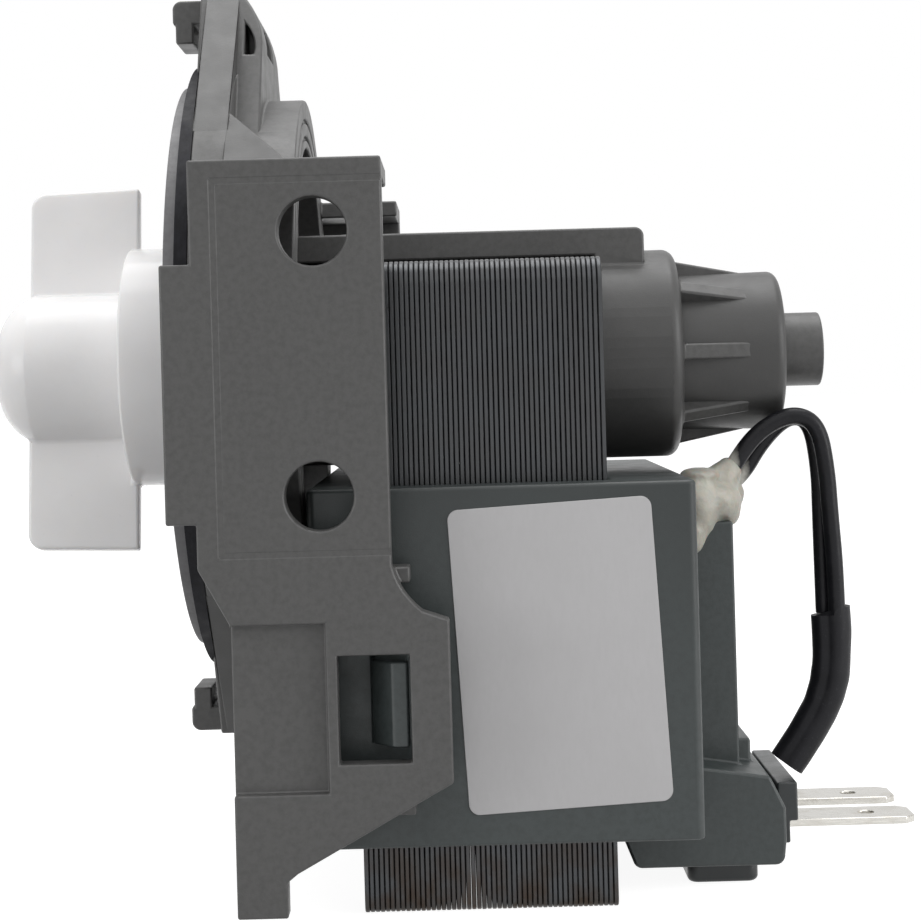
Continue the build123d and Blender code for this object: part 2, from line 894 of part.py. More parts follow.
# Dog on the shaft, which meets the stop in the hub after most of a turn
with BuildPart() as drive_dog:
    dog_len = dog_back_x - dog_front_x
    bush(dog_front_x, dog_len, dog_r, shaft_r)
    sector(dog_front_x, dog_len, dog_r - root_sink, dog_reach, 90, dog_half_angle)
drive_dog.part.label = "drive_dog"

# Impeller: domed hub with the drive's cavity, cup behind it and two blades
with BuildPart() as impeller:
    with BuildSketch(Plane.XY):
        with BuildLine():
            Line((nose_x, 0), (nose_x, nose_flat_r))
            ThreePointArc(
                (nose_x, nose_flat_r), (nose_mid_x, nose_mid_r), (nose_base_x, hub_r)
            )
            Polyline(
                (nose_base_x, hub_r),
                (cup_front_x, hub_r),
                (cup_front_x, cup_r),
                (cup_back_x, cup_r),
                (cup_back_x, cup_r - cup_wall),
                (cup_front_x + cup_floor, cup_r - cup_wall),
                (cup_front_x + cup_floor, hub_r),
                (hub_back_x, hub_r),
                (hub_back_x, hub_bore_r),
                (hub_bore_x, hub_bore_r),
                (hub_bore_x, shaft_bore_r),
                (shaft_front_x - loose_gap, shaft_bore_r),
                (shaft_front_x - loose_gap, 0),
                (nose_x, 0),
            )
        make_face()
    revolve(axis=Axis.X)
    with BuildSketch(Plane.XZ, mode=Mode.PRIVATE) as blade_side:
        with BuildLine():
            Polyline(
                (blade_front_x, hub_r - root_sink),
                (blade_front_x, blade_front_r),
                (blade_back_x, blade_back_r),
                (blade_back_x, hub_r - root_sink),
                close=True,
            )
        make_face()
        tips = blade_side.vertices().sort_by(Axis.Y)[-2:].sort_by(Axis.X)
        fillet(tips[0], radius=blade_front_fillet)
        fillet(tips[1], radius=blade_back_fillet)
    one_blade = extrude(blade_side.sketch, amount=blade_t / 2, both=True, mode=Mode.PRIVATE)
    for turn in range(impeller_blades):
        add(one_blade.rotate(Axis.X, impeller_turn + turn * 360 / impeller_blades))
    stop_len = dog_back_x - hub_bore_x
    stop_rim_r = hub_bore_r + root_sink
    sector(hub_bore_x - root_sink, stop_len, dog_r + loose_gap, stop_rim_r, -90, stop_half_angle)
impeller.part.label = "impeller"

# Cap that closes the drive's cavity
with BuildPart() as hub_cap:
    bush(cap_front_x, hub_cap_t, hub_bore_r, shaft_r + loose_gap)
hub_cap.part.label = "hub_cap"

# Stator core: poles round the can, two legs and the yoke
with BuildPart() as stator_core:
    with BuildSketch(Plane.YZ.offset(stack_x)) as lamination:
        with Locations((0, (core_top + core_bottom) / 2)):
            Rectangle(2 * core_half, core_top - core_bottom)
        fillet(lamination.vertices().group_by(Axis.Y)[-1], radius=core_corner_r)
        fillet(lamination.vertices().group_by(Axis.Y)[0], radius=core_foot_r)
        with Locations((0, (yoke_top + pole_bottom) / 2)):
            Rectangle(2 * leg_inner_y, pole_bottom - yoke_top, mode=Mode.SUBTRACT)
        with Locations((0, (pole_bottom + core_top) / 2)):
            Rectangle(2 * pole_gap_half, core_top - pole_bottom, mode=Mode.SUBTRACT)
        Circle(pole_bore_r, mode=Mode.SUBTRACT)
    extrude(amount=stack_len)
stator_core.part.label = "stator_core"


def coil(side, name):
    """The bobbin and the winding on one leg of the core."""
    with BuildPart() as bobbin:
        tube = leg_outline(Plane.XY.offset(casing_bottom), side, bobbin_out)
        extrude(tube, amount=bobbin_top - casing_bottom)
        for flange_z in (casing_bottom, bobbin_top - bobbin_flange_t):
            extrude(leg_outline(Plane.XY.offset(flange_z), side, winding_out), amount=bobbin_flange_t)
        bore = leg_outline(Plane.XY.offset(casing_bottom), side, bobbin_bore)
        extrude(bore, amount=bobbin_top - casing_bottom, mode=Mode.SUBTRACT)
    bobbin.part.label = name + "_bobbin"
    with BuildPart() as winding:
        low = casing_bottom + bobbin_flange_t
        outside = leg_outline(Plane.XY.offset(low), side, winding_out)
        extrude(outside, amount=bobbin_top - bobbin_flange_t - low)
        inside = leg_outline(Plane.XY.offset(low), side, bobbin_out)
        extrude(inside, amount=bobbin_top - low, mode=Mode.SUBTRACT)
    winding.part.label = name + "_winding"
    return bobbin, winding


near_bobbin, near_winding = coil(-1, "near")
far_bobbin, far_winding = coil(1, "far")

# Coil casing with the rear wall, the connector block and the snap lugs
with BuildPart() as coil_casing:
    box_between(
        (casing_front_x, -casing_half, casing_bottom), (casing_rear_x, casing_half, casing_top)
    )
    fillet(coil_casing.edges().filter_by(Axis.Z), radius=casing_fillet)
    fillet(coil_casing.faces().sort_by(Axis.Z)[-1].edges(), radius=casing_fillet / 2)
    box_between(
        (casing_rear_x - root_sink, -back_wall_half, block_top - foot_in_block),
        (back_wall_x, back_wall_half, back_wall_top),
    )
    with BuildSketch(Plane.XZ) as block_side:
        with BuildLine():
            Polyline(
                (behind_core_x, casing_bottom + root_sink),
                (behind_core_x, casing_bottom),
                (behind_core_x + block_slope, block_bottom),
                (block_rear_x - block_heel, block_bottom),
                (block_rear_x, block_bottom + block_heel_h),
                (block_rear_x, block_top - block_crown - block_shoulder_h),
                (block_rear_x - block_shoulder, block_top - block_crown),
                (block_inner_x, block_top),
                (block_inner_x, casing_bottom + root_sink),
                close=True,
            )
        make_face()
        fillet(block_side.vertices().group_by(Axis.Y)[0], radius=block_fillet)
    extrude(amount=block_half, both=True)
    box_between(
        (boss_front_x, -boss_half, block_top - foot_in_block),
        (boss_front_x + boss_len, boss_half, block_top + boss_h),
    )
    for side in (1, -1):
        with BuildSketch(Plane.XY.offset(lug_bottom)):
            with BuildLine():
                Polyline(
                    (lug_front_x, side * lug_root),
                    (lug_front_x, side * lug_nose),
                    (lug_rear_x - lug_flat, side * lug_reach),
                    (lug_rear_x, side * lug_reach),
                    (lug_rear_x, side * lug_root),
                    close=True,
                )
            make_face()
        extrude(amount=lug_top - lug_bottom)
    for side in (1, -1):
        cavity = leg_outline(Plane.XY.offset(casing_bottom), side, cavity_out)
        extrude(cavity, amount=bobbin_top - casing_bottom, mode=Mode.SUBTRACT)
        leg_hole = leg_outline(Plane.XY.offset(bobbin_top), side, slide_gap)
        extrude(leg_hole, amount=casing_top - bobbin_top, mode=Mode.SUBTRACT)
    box_between(
        (plug_front_x, -holder_half - slide_gap, block_bottom - cut_over),
        (block_rear_x + cut_over, holder_half + slide_gap, plug_top + slide_gap),
        mode=Mode.SUBTRACT,
    )
coil_casing.part.label = "coil_casing"

# Terminal holder: plug inside the block, ledge behind it and foot below it
with BuildPart() as terminal_holder:
    box_between(
        (plug_front_x + slide_gap, -holder_half, block_bottom),
        (holder_front_x, holder_half, plug_top),
    )
    box_between(
        (holder_front_x, -holder_half, holder_step_z), (holder_rear_x, holder_half, holder_top)
    )
    box_between(
        (holder_front_x, -holder_half, holder_bottom),
        (block_rear_x + clip_len, holder_half, holder_step_z),
    )
    with BuildSketch(Plane.XY.offset(foot_bottom)):
        with Locations((foot_mid_x, 0)):
            RectangleRounded(foot_len, 2 * foot_half, foot_fillet)
    extrude(amount=block_bottom - foot_bottom)
    fillet(terminal_holder.faces().sort_by(Axis.Z)[0].edges(), radius=foot_fillet / 2)
    for side in (1, -1):
        box_between(
            (tab_root_x, side * tab_y - tab_w / 2, tab_bottom),
            (holder_rear_x + cut_over, side * tab_y + tab_w / 2, tab_top),
            mode=Mode.SUBTRACT,
        )
terminal_holder.part.label = "terminal_holder"


def terminal(side, name):
    """One flat tab with a rounded tip and its locating hole."""
    with BuildPart() as tab:
        with BuildSketch(Plane.XY.offset(tab_bottom)) as outline:
            with Locations(((tab_root_x + tab_tip_x) / 2, side * tab_y)):
                Rectangle(tab_tip_x - tab_root_x, tab_w)
            chamfer(outline.vertices().group_by(Axis.X)[-1], length=tab_tip_chamfer)
            with Locations((tab_tip_x - tab_hole_back, side * tab_y)):
                Circle(tab_hole_r, mode=Mode.SUBTRACT)
        extrude(amount=tab_t)
    tab.part.label = name
    return tab


near_terminal = terminal(-1, "near_terminal")
far_terminal = terminal(1, "far_terminal")

# Bare rating label on the near face of the casing
with BuildPart() as rating_label:
    label_plane = Plane.XZ.offset(casing_half)
    with BuildSketch(label_plane):
        with Locations(Location((label_x, label_z), label_turn)):
            RectangleRounded(label_w, label_h, label_corner_r)
    extrude(amount=label_t)
rating_label.part.label = "rating_label"

# Glue where the leads leave the casing
with BuildPart() as potting_bead:
    with BuildSketch(Plane.XZ.offset(-bead_far_y)):
        with BuildLine():
            Polyline(
                (casing_rear_x, back_wall_top),
                (casing_rear_x, bead_top),
                (bead_chamfer_x, bead_top),
                (bead_rear_x, bead_top - bead_chamfer),
                (back_wall_x, back_wall_top),
                close=True,
            )
        make_face()
    extrude(amount=bead_far_y - bead_near_y)
potting_bead.part.label = "potting_bead"

# Leads and the sleeve over their lower end
with BuildPart() as near_lead:
    near_radii, near_length = tube_along(near_lead_points, lead_r)
near_lead.part.label = "near_lead"

with BuildPart() as far_lead:
    far_radii, far_length = tube_along(far_lead_points, lead_r)
far_lead.part.label = "far_lead"

with BuildPart() as heat_shrink_sleeve:
    sleeve_radii, sleeve_length = tube_along(sleeve_points, sleeve_tube_r, sleeve_bore_r)
heat_shrink_sleeve.part.label = "heat_shrink_sleeve"

# Thermal fuse inside the sleeve
with BuildPart() as thermal_fuse:
    sleeve_end = Vector(sleeve_points[-1])
    along = (Vector(sleeve_points[-2]) - sleeve_end).normalized()
    with BuildSketch(Plane(origin=sleeve_end + along * fuse_inset, z_dir=along)):
        Circle(fuse_r)
    extrude(amount=fuse_len)
thermal_fuse.part.label = "thermal_fuse"

for lead, radii, length in (
    ("near lead", near_radii, near_length),
    ("far lead", far_radii, far_length),
    ("sleeve", sleeve_radii, sleeve_length),
):
    print(lead, "length", round(length, 1), "radii", [round(r, 1) for r in radii])

for piece in (
    pump_body,
    front_cover,
    flange_gasket,
    cover_seal,
    shaft,
    magnet_sleeve,
    rotor_magnet,
    front_bearing,
    front_bearing_mount,
    rear_bearing,
    rear_bearing_mount,
    front_thrust_washer,
    rear_thrust_washer,
    drive_dog,
    impeller,
    hub_cap,
    stator_core,
    near_bobbin,
    near_winding,
    far_bobbin,
    far_winding,
    coil_casing,
    terminal_holder,
    near_terminal,
    far_terminal,
    rating_label,
    potting_bead,
    near_lead,
    far_lead,
    heat_shrink_sleeve,
    thermal_fuse,
):
    export_step(piece.part, "parts/" + piece.part.label + ".step")
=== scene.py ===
import json
from math import acos, atan2, cos, pi, radians, sin
import random

import bmesh
import bpy
from mathutils import Matrix, Vector, geometry, noise


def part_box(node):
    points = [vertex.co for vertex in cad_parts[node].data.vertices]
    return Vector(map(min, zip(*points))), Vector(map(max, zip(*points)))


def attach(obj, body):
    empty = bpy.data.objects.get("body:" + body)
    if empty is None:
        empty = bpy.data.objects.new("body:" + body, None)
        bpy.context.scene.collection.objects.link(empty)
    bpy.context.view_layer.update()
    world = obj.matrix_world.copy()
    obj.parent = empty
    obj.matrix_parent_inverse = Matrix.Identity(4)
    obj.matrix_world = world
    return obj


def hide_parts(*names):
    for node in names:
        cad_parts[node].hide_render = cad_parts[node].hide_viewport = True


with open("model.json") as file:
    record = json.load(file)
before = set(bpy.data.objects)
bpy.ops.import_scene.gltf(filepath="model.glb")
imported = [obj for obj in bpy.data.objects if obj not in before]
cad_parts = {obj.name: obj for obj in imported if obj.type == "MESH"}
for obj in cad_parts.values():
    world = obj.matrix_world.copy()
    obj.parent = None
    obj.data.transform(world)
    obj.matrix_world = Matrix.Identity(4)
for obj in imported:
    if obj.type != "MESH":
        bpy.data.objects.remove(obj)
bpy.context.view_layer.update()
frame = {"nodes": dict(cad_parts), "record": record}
cad = frame["nodes"]
mm = 0.001

# Camera: level, straight at the near side, rolled a little, drawn with a rising front
image_w = 921
image_h = 924
camera_place = (29.4 * mm, -250.0 * mm, -2.2 * mm)
focal_px = 2200.0
axis_px = (459.0, 378.0)
camera_roll = 1.6
sensor_mm = 36.0
floor_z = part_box("stator_core")[0].z

camera_data = bpy.data.cameras.new("camera")
camera_data.sensor_fit = "HORIZONTAL"
camera_data.sensor_width = sensor_mm
camera_data.lens = focal_px / image_w * sensor_mm
camera_data.shift_x = (image_w / 2 - axis_px[0]) / image_w
camera_data.shift_y = (axis_px[1] - image_h / 2) / image_w
camera_data.clip_start = 0.01
camera_data.clip_end = 20.0
camera = bpy.data.objects.new("camera", camera_data)
camera_right = Vector((cos(radians(camera_roll)), 0, -sin(radians(camera_roll))))
camera_up = Vector((sin(radians(camera_roll)), 0, cos(radians(camera_roll))))
camera_back = Vector((0, -1, 0))
turned = Matrix((camera_right, camera_up, camera_back)).transposed().to_4x4()
camera.matrix_world = Matrix.Translation(camera_place) @ turned
bpy.context.scene.collection.objects.link(camera)
bpy.context.scene.camera = camera

scene = bpy.context.scene
scene.view_settings.view_transform = "Standard"


# Node helpers for the materials
class Paint:
    """One material, with short names for the nodes that the finishes share."""

    def __init__(self, name):
        self.material = bpy.data.materials.new(name)
        self.material.use_nodes = True
        self.tree = self.material.node_tree
        self.shader = self.tree.nodes["Principled BSDF"]
        self.place = self.add("ShaderNodeTexCoord").outputs["Object"]

    def add(self, kind):
        return self.tree.nodes.new(kind)

    def link(self, source, target):
        self.tree.links.new(source, target)

    def set(self, **values):
        for name, value in values.items():
            self.shader.inputs[name.replace("_", " ")].default_value = value

    def stretched(self, scale):
        """The place, stretched along each axis."""
        node = self.add("ShaderNodeMapping")
        node.inputs["Scale"].default_value = scale
        self.link(self.place, node.inputs["Vector"])
        return node.outputs["Vector"]

    def noise(self, size, detail=3.0, rough=0.55, place=None):
        """Noise from 0 to 1, with features of about that size in metres."""
        node = self.add("ShaderNodeTexNoise")
        node.inputs["Scale"].default_value = 1.0 / size
        node.inputs["Detail"].default_value = detail
        node.inputs["Roughness"].default_value = rough
        self.link(place or self.place, node.inputs["Vector"])
        return node.outputs["Fac"]

    def ramp(self, source, low, high, out_low=0.0, out_high=1.0):
        """A clamped linear map of one value."""
        node = self.add("ShaderNodeMapRange")
        node.inputs["From Min"].default_value = low
        node.inputs["From Max"].default_value = high
        node.inputs["To Min"].default_value = out_low
        node.inputs["To Max"].default_value = out_high
        self.link(source, node.inputs["Value"])
        return node.outputs["Result"]

    def math(self, kind, a, b):
        node = self.add("ShaderNodeMath")
        node.operation = kind
        for socket, value in zip(node.inputs, (a, b)):
            if isinstance(value, float):
                socket.default_value = value
            else:
                self.link(value, socket)
        return node.outputs[0]

    def mix(self, factor, a, b):
        """A colour between a and b, each a colour or a socket."""
        node = self.add("ShaderNodeMix")
        node.data_type = "RGBA"
        self.link(factor, node.inputs["Factor"])
        for socket, value in ((node.inputs[6], a), (node.inputs[7], b)):
            if isinstance(value, tuple):
                socket.default_value = (*value, 1.0)
            else:
                self.link(value, socket)
        return node.outputs[2]

    def attribute(self, name):
        node = self.add("ShaderNodeAttribute")
        node.attribute_name = name
        return node.outputs["Fac"]

    def axis(self, name):
        node = self.add("ShaderNodeSeparateXYZ")
        self.link(self.place, node.inputs[0])
        return node.outputs[name]

    def bump(self, height, depth, after=None):
        """Relief of that depth in metres, on top of another relief."""
        node = self.add("ShaderNodeBump")
        node.inputs["Strength"].default_value = 1.0
        node.inputs["Distance"].default_value = depth
        self.link(height, node.inputs["Height"])
        if after:
            self.link(after, node.inputs["Normal"])
        return node.outputs["Normal"]

    def color(self, source):
        self.link(source, self.shader.inputs["Base Color"])

    def rough(self, source):
        self.link(source, self.shader.inputs["Roughness"])

    def normal(self, source):
        self.link(source, self.shader.inputs["Normal"])


def shade(color, factor):
    return tuple(min(1.0, c * factor) for c in color)


def moulded_plastic(name, color, gloss=0.5, speckle=0.1, grain=1.2e-5, edge=0.5, shine=0.46):
    """Filled plastic with a fine speckle, soft flow marks, handling marks, and rubbed edges lightened
    partly as a painted highlight.
    """
    p = Paint(name)
    fine = p.noise(0.13 * mm, 2.0, 0.7)
    coarse = p.noise(0.7 * mm, 3.0, 0.6)
    flow = p.noise(1.0, 4.0, 0.5, p.stretched((90, 90, 55)))
    rub = p.noise(3 * mm, 5.0, 0.62)
    tone = p.mix(p.ramp(flow, 0.3, 0.7), shade(color, 0.9), shade(color, 1.08))
    tone = p.mix(p.ramp(fine, 0.54, 0.78, 0.0, 2.0 * speckle), tone, shade(color, 1.7))
    tone = p.mix(p.ramp(fine, 0.24, 0.46, 2.0 * speckle, 0.0), tone, shade(color, 0.5))
    tone = p.mix(p.ramp(coarse, 0.34, 0.56, speckle, 0.0), tone, shade(color, 0.72))
    tone = p.mix(p.ramp(rub, 0.56, 0.74, 0.0, 0.14), tone, shade(color, 1.45))
    # Rounded edges lighten, partly as rubbed wear and partly as a painted highlight; the edge argument
    # sets how much.
    rubbed_and_highlit_edge = p.math("MULTIPLY", p.attribute("edge"), p.ramp(coarse, 0.32, 0.6, 0.45, 1.0))
    tone = p.mix(p.math("MULTIPLY", rubbed_and_highlit_edge, edge), tone, shade(color, 1.9))
    p.color(tone)
    p.rough(p.ramp(rub, 0.3, 0.7, gloss + 0.06, gloss - 0.08))
    p.set(Specular_IOR_Level=shine)
    relief = p.bump(fine, grain)
    p.normal(p.bump(coarse, grain * 0.8, relief))
    return p


# Colours and finishes of every slot
body_gray = (0.0455, 0.0451, 0.0444)
cover_gray = (0.095, 0.094, 0.098)
casing_green = (0.0235, 0.0285, 0.0285)
holder_black = (0.016, 0.019, 0.02)

finish = {}
finish["body_plastic"] = moulded_plastic("body_plastic", body_gray, 0.46, edge=0.65)
finish["cover_plastic"] = moulded_plastic("cover_plastic", cover_gray, 0.5)
finish["casing_plastic"] = moulded_plastic("casing_plastic", casing_green, 0.44, edge=0.7)
finish["holder_plastic"] = moulded_plastic("holder_plastic", holder_black, 0.36, edge=0.3)
finish["bobbin_plastic"] = moulded_plastic("bobbin_plastic", (0.03, 0.03, 0.032), 0.45)
finish["washer_plastic"] = moulded_plastic("washer_plastic", (0.66, 0.63, 0.55), 0.4, 0.04)
finish["sleeve_plastic"] = moulded_plastic("sleeve_plastic", (0.06, 0.06, 0.062), 0.45)
finish["magnet_ferrite"] = moulded_plastic("magnet_ferrite", (0.045, 0.045, 0.05), 0.6, 0.2)
finish["bearing_carbon"] = moulded_plastic("bearing_carbon", (0.035, 0.035, 0.037), 0.35, 0.2)


def impeller_plastic():
    """White plastic, smooth and slightly see-through, with faint flow lines."""
    p = Paint("impeller_plastic")
    white = (0.83, 0.822, 0.822)
    flow = p.noise(9 * mm, 4.0, 0.5)
    dust = p.noise(0.4 * mm, 3.0, 0.6)
    tone = p.mix(p.ramp(flow, 0.3, 0.7), shade(white, 0.965), shade(white, 1.02))
    tone = p.mix(p.ramp(dust, 0.66, 0.8, 0.0, 0.25), tone, (0.6, 0.6, 0.6))
    p.color(tone)
    p.rough(p.ramp(p.noise(2.5 * mm, 4.0), 0.3, 0.7, 0.14, 0.22))
    p.set(Subsurface_Weight=0.35, Subsurface_Scale=0.002, Specular_IOR_Level=0.2)
    p.shader.inputs["Subsurface Radius"].default_value = (1.0, 0.9, 0.8)
    relief = p.bump(p.noise(0.25 * mm, 2.0), 4e-6)
    p.normal(p.bump(p.noise(4 * mm, 2.0), 4e-5, relief))
    return p


def lamination_steel():
    """Punched steel sheets, varnished dark, bare on their rims, browner and darker towards the bottom of
    the yoke.
    """
    p = Paint("core_steel")
    sheet = p.attribute("sheet")
    streak = p.noise(1.0, 4.0, 0.6, p.stretched((2400, 1500, 420)))
    tone = p.mix(sheet, (0.018, 0.0195, 0.021), (0.030, 0.0325, 0.035))
    tone = p.mix(p.ramp(streak, 0.38, 0.66, 0.0, 0.7), tone, (0.018, 0.019, 0.02))
    speck = p.noise(0.14 * mm, 2.0, 0.7)
    tone = p.mix(p.ramp(speck, 0.58, 0.76, 0.0, 0.8), tone, (0.11, 0.115, 0.12))
    tone = p.mix(p.math("MULTIPLY", p.attribute("rim"), 0.75), tone, (0.08, 0.083, 0.087))
    # Brown patches, strongest in the lowest 12 mm of the yoke, so that it turns browner and darker
    # towards the bottom.
    brown_patch = p.noise(4 * mm, 5.0, 0.6)
    low = p.ramp(p.axis("Z"), -0.057, -0.045, 1.0, 0.0)
    brown = p.math("MULTIPLY", p.ramp(brown_patch, 0.4, 0.6), p.math("MAXIMUM", low, 0.1))
    tone = p.mix(p.math("MULTIPLY", brown, 0.85), tone, (0.045, 0.03, 0.02))
    p.color(tone)
    p.rough(p.ramp(streak, 0.3, 0.7, 0.26, 0.44))
    p.set(Metallic=0.9)
    p.normal(p.bump(p.noise(0.25 * mm, 3.0), 1.0e-5))
    return p


def rubber(name, color, gloss=0.55):
    """Black rubber with fine streaks along the pump's axis and a grey bloom."""
    p = Paint(name)
    streak = p.noise(1.0, 3.0, 0.6, p.stretched((2200, 2200, 180)))
    tone = p.mix(p.ramp(streak, 0.35, 0.7), shade(color, 0.7), shade(color, 1.6))
    bloom = p.ramp(p.noise(3 * mm, 5.0), 0.5, 0.8, 0.0, 0.3)
    p.color(p.mix(bloom, tone, shade(color, 2.6)))
    p.rough(p.ramp(p.noise(1.5 * mm, 4.0), 0.3, 0.7, gloss - 0.08, gloss + 0.1))
    p.set(Specular_IOR_Level=0.15)
    p.normal(p.bump(p.noise(0.2 * mm, 3.0), 1.2e-5))
    return p


def metal(name, color, rough, brushed, brown_patch=(0.3, 0.26, 0.2), stained=0.3):
    """Bare metal with rolling marks along one axis and a few dull spots."""
    p = Paint(name)
    lines = p.noise(1.0, 4.0, 0.65, p.stretched(brushed))
    patch = p.noise(2.2 * mm, 5.0, 0.6)
    tone = p.mix(p.ramp(lines, 0.35, 0.65), shade(color, 0.86), shade(color, 1.08))
    p.color(p.mix(p.ramp(patch, 0.52, 0.72, 0.0, stained), tone, brown_patch))
    rolled = p.ramp(lines, 0.3, 0.7, rough - 0.06, rough + 0.06)
    dull = p.ramp(patch, 0.5, 0.75, 0.0, 0.15)
    p.rough(p.math("ADD", rolled, dull))
    p.set(Metallic=1.0)
    p.normal(p.bump(lines, 1e-6))
    return p


def label_paper():
    """Satin label film with a faint fibre and slightly grey, handled edges."""
    p = Paint("label_paper")
    white = (0.56, 0.56, 0.59)
    fibre = p.noise(1.0, 4.0, 0.65, p.stretched((2600, 2600, 900)))
    cloud = p.noise(7 * mm, 4.0)
    tone = p.mix(p.ramp(cloud, 0.3, 0.7), shade(white, 0.95), shade(white, 1.04))
    tone = p.mix(p.ramp(fibre, 0.4, 0.7, 0.0, 0.4), tone, shade(white, 0.86))
    tone = p.mix(p.math("MULTIPLY", p.attribute("edge"), 0.6), tone, (0.42, 0.41, 0.40))
    p.color(tone)
    p.rough(p.ramp(fibre, 0.3, 0.7, 0.36, 0.5))
    p.normal(p.bump(fibre, 5e-6))
    return p


def glue():
    """Cream hot glue with soft lumps and a waxy skin."""
    p = Paint("glue")
    cream = (0.43, 0.415, 0.36)
    lump = p.noise(1.8 * mm, 4.0)
    tone = p.mix(p.ramp(lump, 0.3, 0.7), shade(cream, 0.78), shade(cream, 1.12))
    tone = p.mix(p.ramp(p.noise(0.3 * mm, 3.0), 0.6, 0.8, 0.0, 0.4), tone, (0.36, 0.34, 0.28))
    p.color(tone)
    p.rough(p.ramp(lump, 0.3, 0.7, 0.34, 0.56))
    p.set(Subsurface_Weight=0.3, Subsurface_Scale=0.0012)
    relief = p.bump(p.noise(0.45 * mm, 3.0), 3e-5)
    p.normal(p.bump(lump, 1.6e-4, relief))
    return p


def sleeving(name, color, gloss, root=None):
    """Extruded sleeve: draw lines, scuffs and a dusty sheen. Before root it is white."""
    p = Paint(name)
    dust = p.noise(0.35 * mm, 4.0, 0.65)
    patch = p.noise(2.4 * mm, 4.0)
    tone = p.mix(p.ramp(patch, 0.3, 0.7), shade(color, 0.8), shade(color, 1.35))
    tone = p.mix(p.ramp(dust, 0.58, 0.8, 0.0, 0.2), tone, (0.11, 0.11, 0.12))
    if root:
        edge = p.math("ADD", p.axis("X"), p.ramp(patch, 0.3, 0.7, -0.0004, 0.0004))
        white = p.ramp(edge, root - 0.00045, root + 0.00045, 1.0, 0.0)
        tone = p.mix(white, tone, (0.5, 0.49, 0.45))
    p.color(tone)
    p.rough(p.ramp(dust, 0.3, 0.7, gloss - 0.06, gloss + 0.12))
    p.set(Specular_IOR_Level=0.2)
    relief = p.bump(p.noise(0.5 * mm, 3.0), 1.5e-5)
    p.normal(p.bump(patch, 6e-5, relief))
    return p


def winding_copper():
    """Enamelled wire, turn beside turn, with painted shade in the grooves between turns."""
    p = Paint("winding_copper")
    turns = p.add("ShaderNodeTexWave")
    turns.bands_direction = "Z"
    turns.inputs["Scale"].default_value = 1600
    turns.inputs["Distortion"].default_value = 0.6
    turns.inputs["Detail"].default_value = 2
    p.link(p.place, turns.inputs["Vector"])
    # The colour follows the relief of the turns: painted shade in the grooves, the copper's colour on the
    # crests.
    p.color(p.mix(turns.outputs["Fac"], (0.28, 0.1, 0.035), (0.72, 0.33, 0.14)))
    p.rough(p.ramp(turns.outputs["Fac"], 0.0, 1.0, 0.42, 0.25))
    p.set(Metallic=0.8)
    p.normal(p.bump(turns.outputs["Fac"], 6e-5))
    return p


finish["impeller_plastic"] = impeller_plastic()
finish["core_steel"] = lamination_steel()
finish["gasket_rubber"] = rubber("gasket_rubber", (0.0085, 0.0085, 0.011))
finish["mount_rubber"] = rubber("mount_rubber", (0.02, 0.02, 0.02))
finish["shaft_steel"] = metal("shaft_steel", (0.62, 0.63, 0.65), 0.2, (900, 9000, 9000))
finish["tab_metal"] = metal("tab_metal", (0.56, 0.545, 0.51), 0.26, (500, 5000, 5000))
finish["fuse_metal"] = metal("fuse_metal", (0.6, 0.6, 0.6), 0.3, (2000, 2000, 400))
finish["label_paper"] = label_paper()
finish["glue"] = glue()
lead_black = (0.0085, 0.0085, 0.0105)
near_white_end = 59.5 * mm
far_white_end = 61.2 * mm
finish["lead_sleeving"] = sleeving("lead_sleeving", lead_black, 0.34, near_white_end)
far_sleeving = sleeving("far_sleeving", lead_black, 0.34, far_white_end)
finish["heat_shrink"] = sleeving("heat_shrink", (0.0075, 0.0075, 0.0095), 0.42)
finish["winding_copper"] = winding_copper()

# Slot and body of each CAD node
slot_of = {row["node"]: row["material_slot"] for row in frame["record"]["subparts"]}
body_of = {}
for body, members in frame["record"]["behaviour"]["bodies"].items():
    for member in members:
        body_of[member] = body


# Helpers for the pieces
weld = 0.002 * mm
flat_angle = radians(0.4)
sharp_angle = radians(28.0)


def skin(bm, rings):
    """Closes a row of rings into one shape: its two ends, then the sides between them."""
    bm.faces.new(rings[0][::-1])
    bm.faces.new(rings[-1])
    for a, b in zip(rings, rings[1:]):
        for k in range(len(a)):
            n = (k + 1) % len(a)
            bm.faces.new((a[k], a[n], b[n], b[k]))


def piece_from(bm, name, material, smooth_angle=50.0):
    """A new object from a bmesh, smooth but for its sharp edges."""
    for face in bm.faces:
        face.smooth = True
    for edge in bm.edges:
        edge.smooth = len(edge.link_faces) == 2 and edge.calc_face_angle(pi) < radians(smooth_angle)
    mesh = bpy.data.meshes.new(name)
    bm.to_mesh(mesh)
    bm.free()
    mesh.materials.append(material)
    piece = bpy.data.objects.new(name, mesh)
    bpy.context.scene.collection.objects.link(piece)
    even = piece.modifiers.new("even_normals", "WEIGHTED_NORMAL")
    even.keep_sharp = True
    return piece


def cad_mesh(node):
    """A CAD node as a bmesh whose flat faces are whole."""
    bm = bmesh.new()
    bm.from_mesh(cad[node].data)
    bmesh.ops.remove_doubles(bm, verts=bm.verts, dist=weld)
    bmesh.ops.dissolve_limit(bm, angle_limit=flat_angle, verts=bm.verts, edges=bm.edges)
    return bm


def fill_crowded(bm):
    """Splits flat faces of many corners into triangles that keep inside their outlines."""
    for face in [f for f in bm.faces if len(f.verts) > 4]:
        normal = face.normal.copy()
        across = normal.orthogonal().normalized()
        along = normal.cross(across)
        depth = face.calc_center_median().dot(normal)
        corners = list(face.verts)
        flat = [Vector((v.co.dot(across), v.co.dot(along))) / mm for v in corners]
        outline = list(range(len(flat)))
        spots, _, triangles, sources, _, _ = geometry.delaunay_2d_cdt(flat, [], [outline], 1, 1e-5)
        known = []
        for spot, source in zip(spots, sources):
            if source:
                known.append(corners[source[0]])
            else:
                known.append(bm.verts.new((across * spot.x + along * spot.y) * mm + normal * depth))
        bm.faces.remove(face)
        for triangle in triangles:
            three = [known[k] for k in triangle]
            if bm.faces.get(three) is None:
                bm.faces.new(three)


